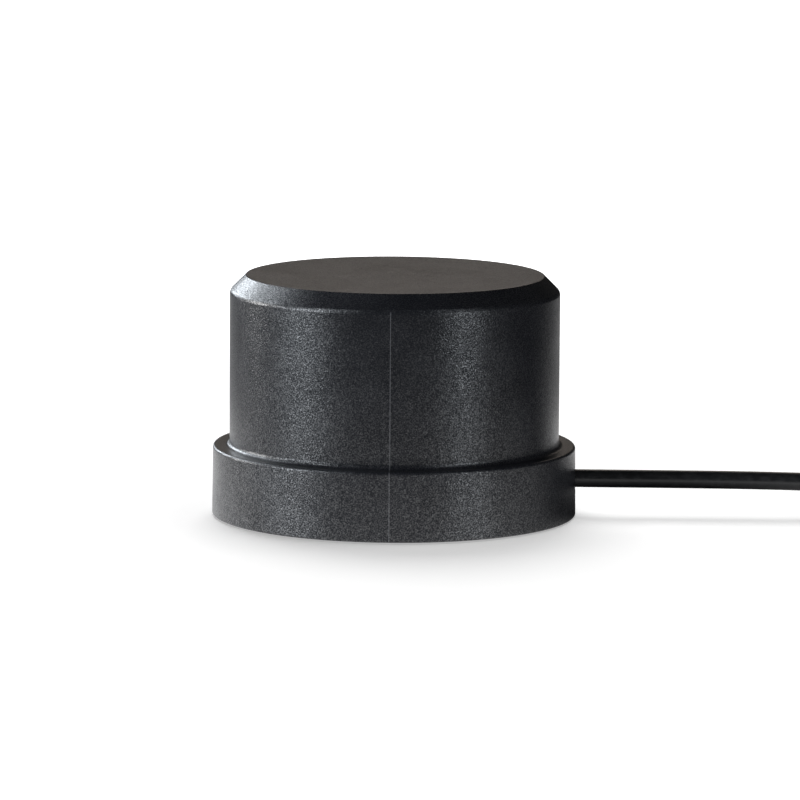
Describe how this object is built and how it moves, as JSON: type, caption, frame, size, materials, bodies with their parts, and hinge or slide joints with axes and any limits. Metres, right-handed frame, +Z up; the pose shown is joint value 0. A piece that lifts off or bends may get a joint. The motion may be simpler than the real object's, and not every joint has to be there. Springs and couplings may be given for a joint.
{
  "type": "gnss receiver",
  "caption": "Round black puck GNSS receiver with a chamfered top and stepped foot flange, on a magnetic threaded base, with a fixed cable ending in a small screw plug.",
  "frame": {"origin": "middle of the puck's underside, on the surface that it stands on", "axes": "+Z up along the puck's axis, +X towards where the lead leaves the flange, -Y the front"},
  "size_m": [0.1756, 0.0834, 0.0438],
  "materials": {
    "housing_plastic": "fine spark-eroded texture, satin black",
    "base_plastic": "smooth satin black",
    "seal_rubber": "matte black",
    "foot_rubber": "matte black",
    "magnet_nickel": "nickel plated",
    "keeper_steel": "zinc plated",
    "insert_brass": "turned brass",
    "screw_steel": "stainless",
    "board_green": "solder mask",
    "shield_tin": "tinned sheet",
    "chip_epoxy": "moulded epoxy",
    "capacitor_ceramic": "fired ceramic",
    "cell_steel": "polished can",
    "connector_nylon": "natural nylon",
    "patch_ceramic": "fired ceramic",
    "electrode_silver": "printed silver",
    "foam": "closed-cell foam",
    "contact_gold": "gold plated",
    "jumper_sheath": "thin smooth sheath",
    "wire_sheath": "thin smooth sheath",
    "cable_sheath": "smooth satin black",
    "tie_fabric": "hook and loop strap",
    "plug_rubber": "moulded, fine matte",
    "plug_insulator": "glass-filled",
    "nut_nickel": "nickel plated, knurled"
  },
  "bodies": {
    "receiver": {"amplifier_shield": "shield_tin", "antenna_board": "board_green", "backup_cell": "cell_steel", "base_plate": "base_plastic", "base_screws": "screw_steel", "base_seal": "seal_rubber", "board_screws": "screw_steel", "board_standoffs": "insert_brass", "cable_grommet": "seal_rubber", "cable_header": "connector_nylon", "cable_stop": "screw_steel", "cable_wires": "wire_sheath", "capacitors": "capacitor_ceramic", "coax_jumper": "jumper_sheath", "coax_plugs": "contact_gold", "coax_sockets": "contact_gold", "coil_tie": "tie_fabric", "cord_coil": "cable_sheath", "cord_lead": "cable_sheath", "cord_tail": "cable_sheath", "feed_pins": "electrode_silver", "foam_pad": "foam", "foot_pad": "foot_rubber", "gnss_module": "board_green", "housing_shell": "housing_plastic", "keeper_plate": "keeper_steel", "line_driver": "chip_epoxy", "lower_electrode": "electrode_silver", "lower_patch": "patch_ceramic", "main_board": "board_green", "module_shield": "shield_tin", "oscillator": "shield_tin", "plug_body": "plug_rubber", "plug_carrier": "plug_insulator", "plug_pins": "contact_gold", "power_inductor": "chip_epoxy", "processor": "chip_epoxy", "ring_magnet": "magnet_nickel", "thread_insert": "insert_brass", "upper_electrode": "electrode_silver", "upper_patch": "patch_ceramic", "wire_housing": "connector_nylon"},
    "coupling": {"coupling_nut": "nut_nickel", "plug_seal": "seal_rubber"}
  },
  "joints": [
    {"name": "nut_turn", "type": "hinge", "parent": "receiver", "child": "coupling", "pos_m": [0.1354, -0.017, 0.00525], "axis": [1, 0, 0], "continuous": true}
  ]
}
